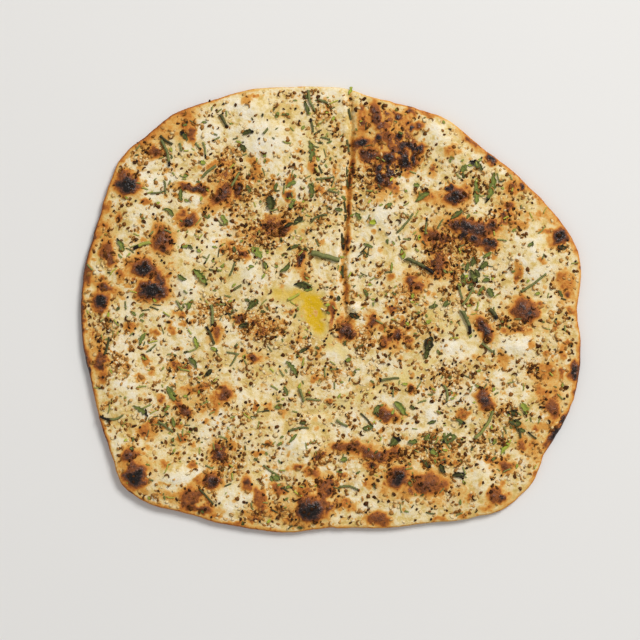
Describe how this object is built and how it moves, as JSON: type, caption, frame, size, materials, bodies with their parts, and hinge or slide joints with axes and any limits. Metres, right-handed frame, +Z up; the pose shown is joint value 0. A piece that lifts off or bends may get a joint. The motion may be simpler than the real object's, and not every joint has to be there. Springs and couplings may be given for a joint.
{
  "type": "naan bread",
  "caption": "Large flat oven-baked garlic and coriander naan with charred blisters, a pressed fold and scraps of chopped herb lying on its buttered crust.",
  "frame": {"origin": "under the middle of the bread's box, on the surface that it lies on", "axes": "+Z up out of the crust, +X along the longer width, +Y towards the end of the straight fold"},
  "size_m": [0.3638, 0.3242, 0.0087],
  "materials": {
    "baked_dough": "soft baked wheat dough, pale cream with golden toasting, dark blisters and a thin shine of melted butter",
    "coriander_leaf": "wilted chopped leaf, mid to dark green, faintly glossy",
    "coriander_stem": "chopped stem, grey-green to yellow-green, some ends scorched brown",
    "garlic_crumb": "baked minced garlic, golden",
    "toasted_crumb": "garlic crumb toasted dark brown to black",
    "nigella_seed": "dull black seed"
  },
  "bodies": {
    "root": {"naan_bread": "baked_dough", "coriander_leaf_01": "coriander_leaf", "coriander_leaf_02": "coriander_leaf", "coriander_leaf_03": "coriander_leaf", "coriander_leaf_04": "coriander_leaf", "coriander_leaf_05": "coriander_leaf", "coriander_leaf_06": "coriander_leaf", "coriander_leaf_07": "coriander_leaf", "coriander_leaf_08": "coriander_leaf", "coriander_leaf_09": "coriander_leaf", "coriander_leaf_10": "coriander_leaf", "coriander_leaf_11": "coriander_leaf", "coriander_leaf_12": "coriander_leaf", "coriander_leaf_13": "coriander_leaf", "coriander_leaf_14": "coriander_leaf", "coriander_leaf_15": "coriander_leaf", "coriander_leaf_16": "coriander_leaf", "coriander_leaf_17": "coriander_leaf", "coriander_leaf_18": "coriander_leaf", "coriander_leaf_19": "coriander_leaf", "coriander_leaf_20": "coriander_leaf", "coriander_leaf_21": "coriander_leaf", "coriander_leaf_22": "coriander_leaf", "coriander_leaf_23": "coriander_leaf", "coriander_leaf_24": "coriander_leaf", "coriander_leaf_25": "coriander_leaf", "coriander_leaf_26": "coriander_leaf", "coriander_leaf_27": "coriander_leaf", "coriander_leaf_28": "coriander_leaf", "coriander_leaf_29": "coriander_leaf", "coriander_leaf_30": "coriander_leaf", "coriander_leaf_31": "coriander_leaf", "coriander_leaf_32": "coriander_leaf", "coriander_leaf_33": "coriander_leaf", "coriander_leaf_34": "coriander_leaf", "coriander_stem_01": "coriander_stem", "coriander_stem_02": "coriander_stem", "coriander_stem_03": "coriander_stem", "coriander_stem_04": "coriander_stem", "coriander_stem_05": "coriander_stem", "coriander_stem_06": "coriander_stem", "coriander_stem_07": "coriander_stem", "coriander_stem_08": "coriander_stem", "coriander_stem_09": "coriander_stem", "coriander_stem_10": "coriander_stem", "coriander_stem_11": "coriander_stem", "coriander_stem_12": "coriander_stem", "coriander_stem_13": "coriander_stem", "coriander_stem_14": "coriander_stem", "coriander_stem_15": "coriander_stem", "coriander_stem_16": "coriander_stem", "coriander_stem_17": "coriander_stem", "coriander_stem_18": "coriander_stem", "coriander_stem_19": "coriander_stem", "coriander_stem_20": "coriander_stem", "coriander_stem_21": "coriander_stem", "coriander_stem_22": "coriander_stem"}
  },
  "joints": []
}
